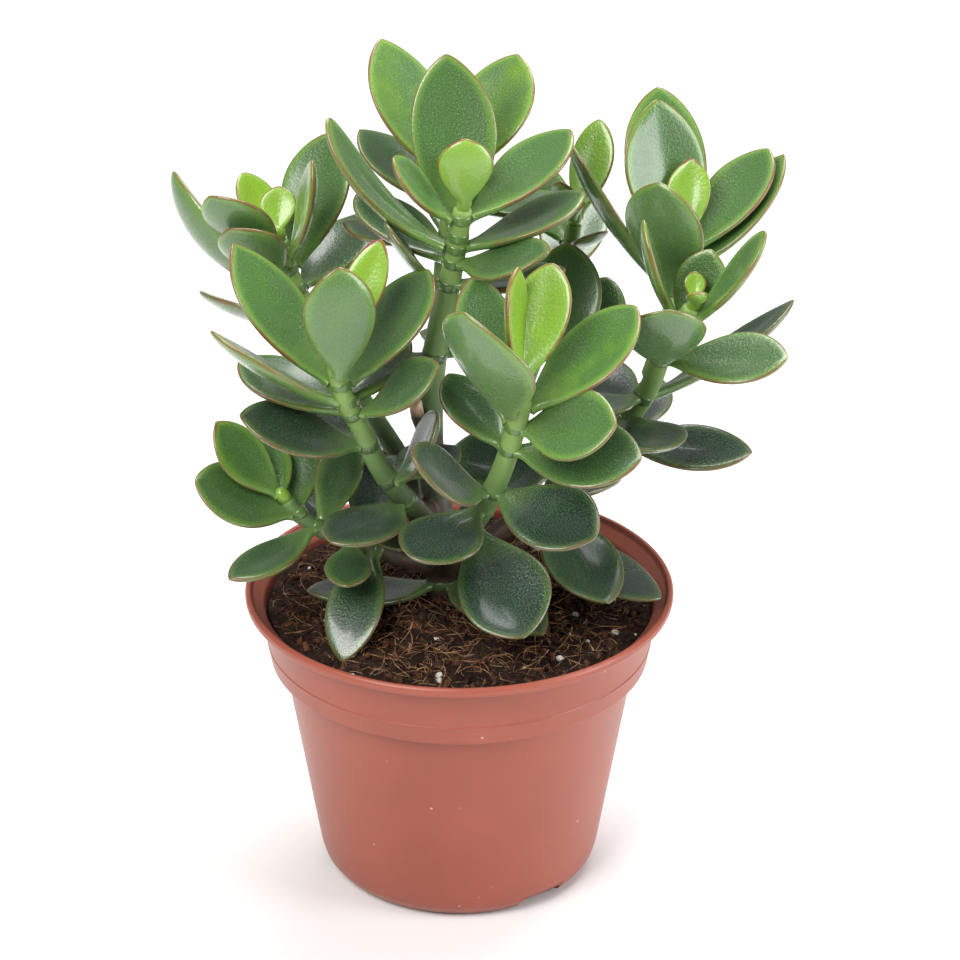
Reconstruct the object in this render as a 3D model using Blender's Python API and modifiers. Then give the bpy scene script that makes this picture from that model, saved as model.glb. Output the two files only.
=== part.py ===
"""Potted jade plant: a young, branching succulent in a moulded plastic nursery pot.

The plant is one set of woody stems that fork just above the soil. Its fleshy leaves grow
in opposite pairs, and each pair, with the collar that joins it round the stem, is one body.
Metres, +Z up. The origin is the centre of the pot's foot, on the surface it stands on.
Azimuth 0 points along +X, 90 along +Y; a rise is the angle above the horizontal.
"""
import math
from collections import namedtuple

import bmesh
import bpy
from mathutils import Matrix, Vector

MM = 0.001
GAP = 0.35  # clearance between two touching pieces, mm

# Pot, mm
POT_HEIGHT = 87.0
RIM_RADIUS = 60.0
WALL = 1.2
COLLAR_DROP = 21.0
FOOT_RADIUS = 34.4
FOOT_WIDTH = 2.0
FLOOR_LIFT = 2.6
BODY_TOP_RADIUS = 49.6
BODY_LOW_RADIUS = 40.3
BODY_LOW_HEIGHT = 7.0
PAD_RADIUS = 6.0  # moulded pad under the middle of the floor
SIDE_HOLE_RADIUS = 3.5
SIDE_HOLE_RING = 20.0
SIDE_HOLES = 6
NOTCH_AZIMUTHS = (307, 67, 187)
NOTCH_WIDTH = 15.0
NOTCH_HEIGHT = 2.1
NOTCH_DEPTH = 12.0
POT_STEPS = 42

# Soil, mm
SOIL_EDGE_DROP = 6.5
SOIL_MOUND = 3.5
SOIL_RADIUS = 53.5
SOIL_BASE_RADIUS = 35.8
SOIL_FLAT_EDGE = 6.0  # width of the ring beside the wall where the lumps fade out
SOIL_RINGS = 4

# Leaves: widest point and outline exponents, thickness in mm, and mesh fineness
OUTLINE_RISE = 1.0
OUTLINE_FALL = 0.7
LEAF_THICKNESS = 3.2
LEAF_SIDES = 6
LEAF_RINGS = 6
LEAF_ROOT = 0.6  # where a level leaf starts, as a share of the stem radius
ERECT_ROOT = 0.6  # what an upright leaf adds to that share
LEAF_SOLVER = "MANIFOLD"  # blades meet at shallow angles, where the exact solver drops faces
COLLAR_SIDES = 8
COLLAR_HEIGHT = 2.8
COLLAR_PROUD = 1.5
BUD_RADIUS = 2.3
BUD_ROOT = 0.35  # where a youngest leaf starts, as a share of the bud radius
BUD_SEAT = 0.6  # how far the bud's centre stands off the stem's end, as a share of its radius

# Stems: distance between the points that a tube is drawn through, mm
STEM_PITCH = 9.0
CURVE_STEPS = 12  # steps between two of a route's own points, before they are spaced out

Leaf = namedtuple("Leaf", "azimuth rise length width roll curl cup", defaults=(0, 25, 0.25))
Pair = namedtuple("Pair", "back leaves")
Shoot = namedtuple("Shoot", "name route thick thin pairs")


def pair(back, *leaves):
    """Leaves that share one node of the stem, `back` mm behind its growing tip."""
    return Pair(back, tuple(Leaf(*leaf) for leaf in leaves))


# Each route runs from the older stem out to the growing tip, in mm. A leaf is its azimuth,
# rise, length and width, then if they differ its roll, the curl of its midrib and its cup.
SHOOTS = (
    Shoot("crown", (
        (-4, 0, 64), (-4, 0, 80), (-5, 2, 93), (-6, 4, 108), (-8, 6, 122), (-8, 7, 140),
        (-6, 6, 159), (-3, 4, 174), (-1, 2, 186), (1, 0, 199)), 5.2, 2.6, (
        pair(-1, (275, 84, 19, 15), (95, 58, 16, 12)),
        pair(3, (28, 32, 36, 22), (192, 50, 24, 15, -20)),
        pair(8.5, (98, 66, 47, 23)),
        pair(12, (166, 46, 46, 16, 0, 55), (10, 22, 35, 20)),
        pair(16.5, (322, 20, 31, 18, 20), (130, 12, 39, 18)),
        pair(23.5, (196, 54, 24, 17), (350, 12, 30, 18)),
        pair(46, (20, 15, 28, 19), (200, 0, 24, 16)),
        pair(78, (12, -8, 26, 18, 35), (205, 2, 15, 12)),
        pair(114, (309, 2, 40, 22, 0, -8), (204, 9, 38, 18)),
    )),
    Shoot("crown_back", (
        (-8, 7, 134), (-6, 16, 155), (-4, 23, 177), (-2, 25, 192), (-1, 24, 202)), 3.0, 2.4, (
        pair(-1, (60, 62, 18, 12), (200, 60, 13, 10)),
        pair(4, (133, 50, 42, 23), (53, 46, 38, 23)),
        pair(11, (150, 30, 31, 21), (358, 0, 35, 17)),
        pair(22, (80, 20, 36, 20), (165, 5, 28, 17)),
    )),
    Shoot("left_back", (
        (-6, 4, 104), (-17, 14, 120), (-31, 22, 140), (-42, 25, 160), (-47, 25, 172),
        (-49, 25, 180)), 3.2, 2.3, (
        pair(-1, (142, 52, 19, 14), (90, 60, 13, 10)),
        pair(3.5, (210, 47, 28, 20, 35), (322, 74, 30, 14, 50)),
        pair(9, (58, 60, 38, 21), (225, 44, 26, 18, 35)),
        pair(15, (158, 40, 45, 15, 60, 75), (52, 24, 32, 18)),
        pair(28, (150, 4, 38, 17, 30), (330, 5, 22, 15)),
    )),
    Shoot("left_front", (
        (-5, 3, 100), (-12, -8, 114), (-17, -14, 123), (-22, -18, 133), (-26, -22, 145),
        (-30, -25, 155), (-32, -26, 164), (-32, -26, 169)), 3.4, 2.5, (
        pair(-1, (46, 57, 30, 11, 40), (160, 66, 13, 9)),
        pair(5.5, (278, 82, 33, 19)),
        pair(9.5, (148, 47, 45, 22), (40, 42, 37, 21)),
        pair(15, (190, 35, 40, 18, 15), (60, 20, 28, 16)),
        pair(19, (150, 14, 34, 22), (345, 38, 27, 18, 20)),
        pair(31, (197, 22, 35, 22, -15), (128, 4, 30, 22)),
        pair(45, (325, 60, 27, 17, 40), (40, 5, 23, 17)),
        pair(56, (233, 0, 30, 22)),
    )),
    Shoot("left_low", (
        (-5, 1, 91), (-16, -4, 97), (-26, -6, 102), (-34, -10, 107), (-40, -10, 110),
        (-45, -10, 115), (-47, -10, 118)), 2.9, 2.0, (
        pair(-1, (170, 50, 27, 15, -30), (110, 38, 18, 11)),
        pair(5, (196, 27, 30, 21, -30), (95, 45, 22, 14)),
        pair(11.5, (50, 60, 27, 14, 60), (225, -8, 31, 15)),
        pair(23, (268, -6, 21, 13), (140, 22, 26, 16)),
        pair(31, (254, -32, 35, 16, 0, -30), (92, 66, 27, 16)),
    )),
    Shoot("front", (
        (-4, 1, 90), (-1, -9, 105), (6, -21, 120), (11, -30, 136), (14, -34, 148),
        (16, -36, 158), (16, -36, 164)), 3.5, 2.6, (
        pair(-1, (95, 72, 29, 14, 60), (60, 60, 31, 17)),
        pair(7, (225, 63, 38, 30), (26, 36, 39, 23, 8)),
        pair(12.5, (112, 51, 41, 18), (328, 16, 29, 21, 42)),
        pair(20, (338, 6, 35, 23, 25), (130, 30, 26, 17)),
        pair(37, (219, 36, 30, 21, -30), (319, -5, 33, 23, 20)),
        pair(46, (50, 20, 24, 17), (233, -4, 30, 22, -10)),
        pair(57, (293, -28, 37, 25, 15), (185, -10, 24, 15)),
    )),
    Shoot("right", (
        (-5, 2, 91), (11, 6, 99), (27, 8, 112), (39, 6, 125), (47, 4, 137), (52, 2, 147),
        (55, -1, 158), (60, -4, 168), (62, -5, 173)), 3.8, 2.5, (
        pair(-1, (270, 45, 8, 6), (90, 60, 8, 6)),
        pair(3.7, (178, 72, 29, 14), (352, 56, 31, 14, 15)),
        pair(9.7, (40, 67, 23, 15, 30)),
        pair(19, (338, 10, 34, 20, 20), (270, 56, 26, 23)),
        pair(33, (20, 28, 47, 15, -15), (215, 10, 26, 17)),
        pair(40, (280, 6, 27, 24), (110, 10, 30, 18)),
        pair(49, (346, 0, 37, 18, 15), (60, 12, 28, 16)),
        pair(77, (296, -22, 38, 22), (55, -5, 34, 18)),
        pair(86, (330, -17, 44, 21)),
    )),
    Shoot("right_top", (
        (52, 3, 149), (57, 13, 160), (60, 20, 172), (62, 21, 182)), 2.8, 2.4, (
        pair(-1, (85, 62, 20, 12)),
        pair(4, (115, 68, 41, 25), (38, 40, 36, 19)),
        pair(9, (98, 50, 52, 23), (35, 38, 42, 18)),
        pair(14, (152, 50, 48, 15, 40), (238, 77, 35, 24)),
    )),
    Shoot("right_back", (
        (-4, 4, 92), (6, 20, 107), (16, 32, 127), (25, 40, 149), (30, 42, 166),
        (32, 42, 178)), 3.2, 2.3, (
        pair(-1, (62, 60, 28, 13), (240, 60, 16, 10)),
        pair(6, (130, 45, 28, 20), (300, 34, 15, 11)),
        pair(16, (80, 20, 36, 20), (215, 20, 20, 13)),
        pair(38, (95, 5, 34, 20), (178, 8, 32, 19)),
    )),
    Shoot("mid_right", (
        (26, 8, 111), (29, 10, 127), (29, 10, 139), (28, 8, 147)), 2.8, 2.3, (
        pair(-1, (85, 52, 36, 21), (254, 60, 16, 10)),
        pair(6, (65, 40, 36, 19), (200, 20, 24, 15)),
    )),
)

# Short cut or withered stubs on the old wood: route and radius, mm
STUBS = (
    (((-8, 6, 128), (-11, 1, 137), (-12, -2, 144)), 2.2),
    (((-8, 3, 108), (-12, -6, 113), (-13, -8, 116)), 3.4),
)


# ---------------------------------------------------------------- helpers

def clear_scene():
    """Empties the scene."""
    for obj in list(bpy.data.objects):
        bpy.data.objects.remove(obj, do_unlink=True)


def new_collection(name):
    """A collection linked to the scene."""
    collection = bpy.data.collections.new(name)
    bpy.context.scene.collection.children.link(collection)
    return collection


def new_material(name, rgb, roughness):
    """A Principled material of one colour."""
    material = bpy.data.materials.new(name)
    material.use_nodes = True
    shader = material.node_tree.nodes["Principled BSDF"]
    shader.inputs["Base Color"].default_value = (*rgb, 1.0)
    shader.inputs["Roughness"].default_value = roughness
    shader.inputs["Metallic"].default_value = 0.0
    return material


def new_object(name, mesh, collection, material=None):
    """An object on its mesh, in its collection."""
    obj = bpy.data.objects.new(name, mesh)
    collection.objects.link(obj)
    if material:
        mesh.materials.append(material)
    return obj


def as_cutter(obj):
    """Marks an object as construction only."""
    obj.hide_render = True
    obj.display_type = "WIRE"
    return obj


def add_boolean(obj, other, operation, solver="EXACT"):
    """Joins or cuts one closed body with another."""
    modifier = obj.modifiers.new(operation.lower(), "BOOLEAN")
    modifier.operation = operation
    modifier.solver = solver
    modifier.object = other


def baked_mesh(obj, name):
    """The evaluated mesh of an object, welded."""
    bpy.context.view_layer.update()
    graph = bpy.context.evaluated_depsgraph_get()
    mesh = bpy.data.meshes.new_from_object(obj.evaluated_get(graph))
    mesh.name = name
    work = bmesh.new()
    work.from_mesh(mesh)
    bmesh.ops.remove_doubles(work, verts=work.verts, dist=0.00002)
    work.to_mesh(mesh)
    work.free()
    return mesh


def heading(azimuth, rise=0.0):
    """The unit vector at an azimuth and a rise in degrees."""
    turn = math.radians(azimuth)
    tilt = math.radians(rise)
    return Vector((math.cos(tilt) * math.cos(turn), math.cos(tilt) * math.sin(turn), math.sin(tilt)))


def smooth_route(points, pitch):
    """Points every `pitch` mm along a smooth curve through a route's own points."""
    knots = [Vector(point) for point in points]
    ends = [knots[0] * 2 - knots[1], *knots, knots[-1] * 2 - knots[-2]]
    dense = []
    for before, start, end, after in zip(ends, ends[1:], ends[2:], ends[3:]):
        for step in range(CURVE_STEPS):
            t = step / CURVE_STEPS
            dense.append(0.5 * (2 * start + (end - before) * t
                                + (2 * before - 5 * start + 4 * end - after) * t * t
                                + (3 * start - before - 3 * end + after) * t ** 3))
    dense.append(knots[-1])
    total = sum((b - a).length for a, b in zip(dense, dense[1:]))
    count = max(2, round(total / pitch))
    return [point_back(dense, total * (count - index) / count)[0] for index in range(count + 1)]


def point_back(line, back):
    """The point and direction that lie `back` mm before the end of a line."""
    left = back
    for end, start in zip(line[::-1], line[-2::-1]):
        span = (end - start).length
        if left <= span:
            return end + (start - end) * (left / span), (end - start).normalized()
        left -= span
    return line[0].copy(), (line[1] - line[0]).normalized()


# ---------------------------------------------------------------- pot and soil

def pot_outline():
    """The pot's section, up its inner side, over the rim and down to the pad it stands on."""
    top = POT_HEIGHT
    collar = top - COLLAR_DROP
    return (
        (0.0, FLOOR_LIFT + WALL), (36.4, FLOOR_LIFT + WALL), (38.2, 5.2),
        (BODY_LOW_RADIUS - WALL, BODY_LOW_HEIGHT + 0.6),
        (BODY_TOP_RADIUS - WALL, collar - 0.4), (52.0, collar + 1.2),
        (54.3, top - 5.0), (54.7, top - 4.0), (58.0, top - 1.5), (58.4, top),
        (59.2, top), (RIM_RADIUS, top - 0.8), (RIM_RADIUS, top - 2.4), (58.6, top - 2.9),
        (55.6, top - 3.0), (53.7, collar + 0.6), (53.2, collar), (50.2, collar - 0.2),
        (BODY_TOP_RADIUS, collar - 0.8), (BODY_LOW_RADIUS, BODY_LOW_HEIGHT), (39.4, 3.9),
        (37.4, 1.2), (FOOT_RADIUS, 0.0), (FOOT_RADIUS - FOOT_WIDTH, 0.0),
        (FOOT_RADIUS - FOOT_WIDTH - 0.3, FLOOR_LIFT), (PAD_RADIUS, FLOOR_LIFT),
        (PAD_RADIUS, 0.0), (0.0, 0.0),
    )


def turned_mesh(name, section, steps):
    """A section that starts and ends on the axis, turned about Z into a closed body."""
    mesh = bpy.data.meshes.new(name)
    verts = [(radius * MM, 0.0, height * MM) for radius, height in section]
    edges = [(index, index + 1) for index in range(len(verts) - 1)]
    mesh.from_pydata(verts, edges, [])
    profile = bpy.data.objects.new(name + "_profile", mesh)
    bpy.context.scene.collection.objects.link(profile)
    screw = profile.modifiers.new("turn", "SCREW")
    screw.axis = "Z"
    screw.angle = math.tau
    screw.steps = steps
    screw.render_steps = steps
    screw.use_merge_vertices = True
    screw.merge_threshold = 0.00005
    turned = baked_mesh(profile, name)
    bpy.data.objects.remove(profile, do_unlink=True)
    return turned


def upright_cutter(name, x, y, z, radius, height, cutters):
    """An upright cylinder to cut with, centred at a point, mm."""
    mesh = bpy.data.meshes.new(name)
    work = bmesh.new()
    bmesh.ops.create_cone(work, cap_ends=True, segments=16, radius1=radius * MM,
                          radius2=radius * MM, depth=height * MM)
    work.to_mesh(mesh)
    work.free()
    cutter = as_cutter(new_object(name, mesh, cutters))
    cutter.location = Vector((x, y, z)) * MM
    return cutter


def make_pot(parts, cutters):
    """The moulded pot with its rolled lip, stepped collar, foot notches and drain holes."""
    plastic = new_material("terracotta_plastic", (0.43, 0.15, 0.11), 0.42)
    mesh = turned_mesh("pot", pot_outline(), POT_STEPS)
    pot = new_object("pot", mesh, parts, plastic)
    for index in range(SIDE_HOLES):
        spot = heading(index * 360 / SIDE_HOLES) * SIDE_HOLE_RING
        hole = upright_cutter(f"drain_{index}", spot.x, spot.y, FLOOR_LIFT + WALL / 2,
                              SIDE_HOLE_RADIUS, WALL * 4, cutters)
        add_boolean(pot, hole, "DIFFERENCE")
    for azimuth in NOTCH_AZIMUTHS:
        mesh = bpy.data.meshes.new("notch")
        work = bmesh.new()
        bmesh.ops.create_cube(work, size=1.0)
        work.to_mesh(mesh)
        work.free()
        notch = as_cutter(new_object(f"notch_{azimuth}", mesh, cutters))
        notch.scale = Vector((NOTCH_DEPTH, NOTCH_WIDTH, NOTCH_HEIGHT * 2)) * MM
        notch.rotation_euler.z = math.radians(azimuth)
        notch.location = heading(azimuth) * FOOT_RADIUS * MM
        add_boolean(pot, notch, "DIFFERENCE")
    mesh = pot.data
    mesh.shade_smooth()
    mesh.set_sharp_from_angle(angle=math.radians(35))
    return pot


def soil_lumps(x, y):
    """The rise and fall of the soil's surface, mm."""
    return (0.9 * math.sin(x * 0.21 + 1.3) * math.cos(y * 0.17 - 0.4)
            + 0.5 * math.sin(x * 0.43 - y * 0.37) + 0.4 * math.cos(y * 0.55 + x * 0.12 + 2.0))


def make_soil(parts, trunk_hole):
    """The root ball: soil that fills the pot, with a low mound at the plant's foot."""
    earth = new_material("potting_soil", (0.022, 0.012, 0.009), 0.95)
    collar = POT_HEIGHT - COLLAR_DROP
    edge = POT_HEIGHT - SOIL_EDGE_DROP
    surface = []
    for ring in range(SOIL_RINGS):
        share = ring / SOIL_RINGS
        surface.append((SOIL_RADIUS * share, edge + SOIL_MOUND * (1 - share ** 2)))
    section = (
        *surface, (SOIL_RADIUS, edge), (51.6, collar + 1.4 + GAP),
        (BODY_TOP_RADIUS - WALL - GAP, collar - 0.6),
        (BODY_LOW_RADIUS - WALL - GAP, BODY_LOW_HEIGHT + 1.0), (37.5, 5.8),
        (SOIL_BASE_RADIUS, FLOOR_LIFT + WALL + GAP), (0.0, FLOOR_LIFT + WALL + GAP),
    )
    mesh = turned_mesh("soil", section, POT_STEPS)
    for vert in mesh.vertices:
        x, y, z = vert.co / MM
        fade = min(1.0, max(0.0, (SOIL_RADIUS - math.hypot(x, y)) / SOIL_FLAT_EDGE))
        if z > edge - 0.5:
            vert.co.z += soil_lumps(x, y) * fade * MM
    soil = new_object("soil", mesh, parts, earth)
    add_boolean(soil, trunk_hole, "DIFFERENCE")
    soil.data.shade_smooth()
    return soil


# ---------------------------------------------------------------- stems

def tube_mesh(name, route, thick, thin, grow=0.0, longer=0.0):
    """A tapering round tube along a smooth route, as a closed mesh."""
    line = smooth_route(route, STEM_PITCH)
    if longer:
        line[0] = line[0] + (line[0] - line[1]).normalized() * longer
        line[-1] = line[-1] + (line[-1] - line[-2]).normalized() * longer
    curve = bpy.data.curves.new(name, "CURVE")
    curve.dimensions = "3D"
    curve.bevel_depth = MM
    curve.bevel_resolution = 2
    curve.use_fill_caps = True
    spline = curve.splines.new("POLY")
    spline.points.add(len(line) - 1)
    for index, (point, spot) in enumerate(zip(spline.points, line)):
        share = index / (len(line) - 1)
        point.co = (*(spot * MM), 1.0)
        point.radius = thick + (thin - thick) * share + grow
    holder = bpy.data.objects.new(name, curve)
    bpy.context.scene.collection.objects.link(holder)
    mesh = baked_mesh(holder, name)
    bpy.data.objects.remove(holder, do_unlink=True)
    return mesh


def make_stems(parts, cutters):
    """Trunk, branches and old stubs, grown together as one body."""
    bark = new_material("jade_stem", (0.14, 0.20, 0.07), 0.6)
    trunk = SHOOTS[0]
    mesh = tube_mesh("stems", trunk.route, trunk.thick, trunk.thin)
    stems = new_object("stems", mesh, parts, bark)
    for shoot in SHOOTS[1:]:
        mesh = tube_mesh(shoot.name + "_stem", shoot.route, shoot.thick, shoot.thin)
        add_boolean(stems, as_cutter(new_object(shoot.name + "_stem", mesh, cutters)), "UNION")
    for index, (route, radius) in enumerate(STUBS, start=1):
        mesh = tube_mesh(f"stub_{index}", route, radius, radius * 0.85)
        add_boolean(stems, as_cutter(new_object(f"stub_{index}", mesh, cutters)), "UNION")
    return stems


# ---------------------------------------------------------------- leaves

def leaf_width_share(share):
    """Half-width of a leaf, against its widest, at a share of its length."""
    widest = OUTLINE_RISE / (OUTLINE_RISE + OUTLINE_FALL)
    return (share / widest) ** OUTLINE_RISE * ((1 - share) / (1 - widest)) ** OUTLINE_FALL


def leaf_thickness(share, length):
    """Full thickness of a leaf at a share of its length, mm."""
    size = min(1.0, 0.45 + length / 60)
    return LEAF_THICKNESS * size * math.sqrt(max(0.0, 1 - share ** 3)) * (0.85 + 0.3 * share)


def leaf_frame(leaf, base):
    """Places a leaf: X along its chord, Y across it, Z out of its upper face."""
    along = heading(leaf.azimuth, leaf.rise)
    across = heading(leaf.azimuth + 90)
    upper = along.cross(across)
    turn = Matrix((along, across, upper)).transposed()
    roll = Matrix.Rotation(math.radians(leaf.roll), 3, "X")
    return Matrix.Translation(base) @ (turn @ roll).to_4x4()


def leaf_point(leaf, share, side, lift):
    """A point of a leaf in its own frame, mm; side and lift run from -1 to 1."""
    bend = math.radians(leaf.curl)
    half = bend / 2
    scale = leaf.length / (2 * math.sin(half))
    angle = bend * (share - 0.5)
    across = side * leaf_width_share(share) * leaf.width / 2
    cup = leaf.cup * (1 - 0.5 * share) * across * across / (leaf.width / 2)
    height = lift * leaf_thickness(share, leaf.length) / 2 + cup
    return Vector((
        scale * (math.sin(angle) + math.sin(half)) - height * math.sin(angle),
        across,
        scale * (math.cos(half) - math.cos(angle)) + height * math.cos(angle),
    ))


def root_share(leaf):
    """How far out a leaf starts, as a share of the stem radius."""
    return LEAF_ROOT + ERECT_ROOT * abs(math.sin(math.radians(leaf.rise)))


def leaf_mesh(name, leaf, base):
    """A fleshy leaf: a sphere drawn out to the leaf's outline, curl and cup."""
    frame = leaf_frame(leaf, base)
    work = bmesh.new()
    bmesh.ops.create_uvsphere(work, u_segments=LEAF_SIDES, v_segments=LEAF_RINGS, radius=1.0)
    for vert in work.verts:
        share = min(1.0, max(0.0, (vert.co.z + 1) / 2))
        ring = math.hypot(vert.co.x, vert.co.y)
        side = vert.co.x / ring if ring > 1e-6 else 0.0
        lift = vert.co.y / ring if ring > 1e-6 else 0.0
        vert.co = frame @ leaf_point(leaf, share, side, lift) * MM
    mesh = bpy.data.meshes.new(name)
    work.to_mesh(mesh)
    work.free()
    return mesh


def collar_mesh(name, spot, direction, radius, at_tip):
    """The ring where a pair of leaves clasps the stem, or the bud that ends a stem."""
    turn = direction.to_track_quat("Z", "Y").to_matrix().to_4x4()
    place = Matrix.Translation(spot * MM) @ turn
    mesh = bpy.data.meshes.new(name)
    work = bmesh.new()
    if at_tip:
        bmesh.ops.create_uvsphere(work, u_segments=8, v_segments=6, radius=BUD_RADIUS * MM,
                                  matrix=place)
    else:
        outer = (radius + COLLAR_PROUD) * MM
        bmesh.ops.create_cone(work, cap_ends=True, segments=COLLAR_SIDES, radius1=outer,
                              radius2=outer, depth=COLLAR_HEIGHT * MM, matrix=place)
    work.to_mesh(mesh)
    work.free()
    return mesh


def make_leaf_pair(shoot, number, node, line, stem_cutter, parts, cutters):
    """One pair of leaves and its collar, cut clear of the stem it clasps."""
    green = new_material(f"{shoot.name}_leaf_{number}", (0.10, 0.22, 0.05), 0.35)
    name = f"{shoot.name}_leaves_{number}"
    at_tip = node.back < 0
    spot, direction = point_back(line, max(0.0, node.back))
    if at_tip:
        spot = spot + direction * (BUD_RADIUS * BUD_SEAT + GAP)
    radius = shoot.thin + (shoot.thick - shoot.thin) * node.back / route_length(line)
    body = new_object(name, collar_mesh(name, spot, direction, radius, at_tip), parts, green)
    for side, leaf in zip("ab", node.leaves):
        reach = BUD_RADIUS * BUD_ROOT if at_tip else radius * root_share(leaf)
        root = spot + heading(leaf.azimuth) * reach
        blade = leaf_mesh(f"{name}_{side}", leaf, root)
        add_boolean(body, as_cutter(new_object(f"{name}_{side}", blade, cutters)), "UNION",
                    LEAF_SOLVER)
    add_boolean(body, stem_cutter, "DIFFERENCE", LEAF_SOLVER)
    return body


def route_length(line):
    """The length of a line of points, mm."""
    return sum((end - start).length for start, end in zip(line, line[1:]))


def main():
    """Builds the whole potted plant."""
    clear_scene()
    parts = new_collection("potted_jade_plant")
    cutters = new_collection("cutters")
    make_pot(parts, cutters)
    trunk = SHOOTS[0]
    mesh = tube_mesh("trunk_hole", trunk.route[:4], trunk.thick, trunk.thick, grow=GAP,
                     longer=GAP)
    make_soil(parts, as_cutter(new_object("trunk_hole", mesh, cutters)))
    make_stems(parts, cutters)
    for shoot in SHOOTS:
        line = smooth_route(shoot.route, STEM_PITCH)
        name = shoot.name + "_clearance"
        mesh = tube_mesh(name, shoot.route, shoot.thick, shoot.thin, grow=GAP, longer=GAP)
        stem_cutter = as_cutter(new_object(name, mesh, cutters))
        for number, node in enumerate(shoot.pairs, start=1):
            make_leaf_pair(shoot, number, node, line, stem_cutter, parts, cutters)


main()
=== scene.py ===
"""Potted jade plant, as it looks: waxy leaves, fleshy stems, loose soil and a moulded pot.

Every visible piece is built here around the frame's solids, in the same place. The design
table is in millimetres, as in the part's own source: azimuth 0 points along +X and 90 along
+Y, a rise is the angle above the horizontal, and `back` is the distance behind a shoot's tip.
"""
import math
import random
from collections import namedtuple

import bmesh
import bpy
from bpy.props import FloatProperty, FloatVectorProperty, IntProperty, PointerProperty
from mathutils import Matrix, Vector, noise
from mathutils.kdtree import KDTree


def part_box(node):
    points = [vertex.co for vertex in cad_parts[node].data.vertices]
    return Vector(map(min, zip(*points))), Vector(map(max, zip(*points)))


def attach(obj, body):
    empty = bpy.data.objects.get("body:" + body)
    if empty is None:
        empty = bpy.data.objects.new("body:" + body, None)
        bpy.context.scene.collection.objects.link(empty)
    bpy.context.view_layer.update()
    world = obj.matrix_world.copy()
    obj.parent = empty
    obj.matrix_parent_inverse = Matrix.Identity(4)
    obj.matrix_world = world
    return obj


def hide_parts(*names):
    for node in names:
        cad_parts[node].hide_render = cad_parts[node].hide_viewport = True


bl_info = {
    "name": "Potted jade plant",
    "version": (1, 0, 0),
    "blender": (4, 5, 0),
    "location": "View3D > Sidebar > Jade plant",
    "description": "Builds the visible pot, soil, stems and leaves of a potted jade plant",
    "category": "Add Mesh",
}

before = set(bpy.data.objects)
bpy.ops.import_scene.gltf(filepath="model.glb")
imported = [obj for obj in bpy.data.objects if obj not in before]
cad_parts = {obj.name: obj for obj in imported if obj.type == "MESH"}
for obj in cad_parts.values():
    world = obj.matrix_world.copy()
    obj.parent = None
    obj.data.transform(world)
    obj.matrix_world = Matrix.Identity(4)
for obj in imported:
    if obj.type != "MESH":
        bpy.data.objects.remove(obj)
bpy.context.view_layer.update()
ROOT = "root"
MM = 0.001
UNIT = (0.0, 1.0)
WELD = 0.000005

# Pot, from the frame and from the part's own dimensions, mm
POT_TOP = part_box("pot")[1][2] / MM
RIM_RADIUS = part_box("pot")[1][0] / MM
WALL = 1.2
COLLAR_DROP = 21.0
FOOT_RADIUS = 34.4
FOOT_WIDTH = 2.0
FLOOR_LIFT = 2.6
BODY_TOP_RADIUS = 49.6
BODY_LOW_RADIUS = 40.3
BODY_LOW_HEIGHT = 7.0
PAD_RADIUS = 6.0
SIDE_HOLE_RADIUS = 3.5
SIDE_HOLE_RING = 20.0
SIDE_HOLES = 6
NOTCH_AZIMUTHS = (307, 67, 187)
NOTCH_WIDTH = 15.0
NOTCH_DEPTH = 12.0
# A notch climbs outwards in steps, so that it never breaks through: start radius and height
NOTCH_STEPS = ((28.4, 2.1), (34.0, 3.3), (36.9, 3.8), (38.6, 5.2))

# Soil, mm
SOIL_RADIUS = 53.9
SOIL_EDGE_DROP = 6.5
SOIL_MOUND = 3.5
SOIL_FLAT_EDGE = 6.0
# How far crumbs, short hairs and long strands keep from the soil's edge
CRUMB_ROOM = 1.5
HAIR_ROOM = 4.5
STRAND_ROOM = 10.0

# Leaves and stems, mm
LEAF_THICKNESS = 3.6
LEAF_ROOT = 0.6
ERECT_ROOT = 0.6
BUD_RADIUS = 2.3
BUD_ROOT = 0.35
BUD_SEAT = 0.6
GAP = 0.35
CURVE_STEPS = 12
STEM_SIDES = 18
LEAF_ROUTE_PITCH = 9.0
# The stem swells by this much at a node, over this distance to each side
SWELLING = 0.12
SWELLING_REACH = 1.7
# The ring scar at a node: its strength and its reach along the stem
SCAR_STRENGTH = 0.22
SCAR_REACH = 0.45
# Wood is oldest this far behind a tip, and youngest this far above the pot's rim
OLD_BACK = 60.0
YOUNG_HEIGHT = 62.0
# The ring where two leaves clasp the stem: its facets, sink into the stem, rise and half-width
COLLAR_AROUND = 28
COLLAR_ABOUT = 10
COLLAR_SINK = 0.12
COLLAR_RISE = 0.3
COLLAR_HALF = 1.5
# In a leaf's map the underside lies this far beside the upper side, and no leaf is half as
# wide as the second number. A place without an edge counts as this far inside one.
UNDER_SHIFT = 60.0
UNDER_LIMIT = 35.0
NO_EDGE = 3.0

# Stage, in metres
FLOOR_HALF = 8.0
FLOOR_DROP = 0.0002
SENSOR = 36.0
CAMERA_SHIFT = (0.0216, 0.1072)
CAMERA_CLIP = (0.05, 20.0)
LIT_POINT = (0.0, 0.0, 0.14)

Leaf = namedtuple("Leaf", "azimuth rise length width roll curl cup", defaults=(0, 25, 0.25))
Pair = namedtuple("Pair", "back leaves")
Shoot = namedtuple("Shoot", "name route thick thin pairs")


def pair(back, *leaves):
    """Leaves that share one node of the stem, `back` mm behind its growing tip."""
    return Pair(back, tuple(Leaf(*leaf) for leaf in leaves))


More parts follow.
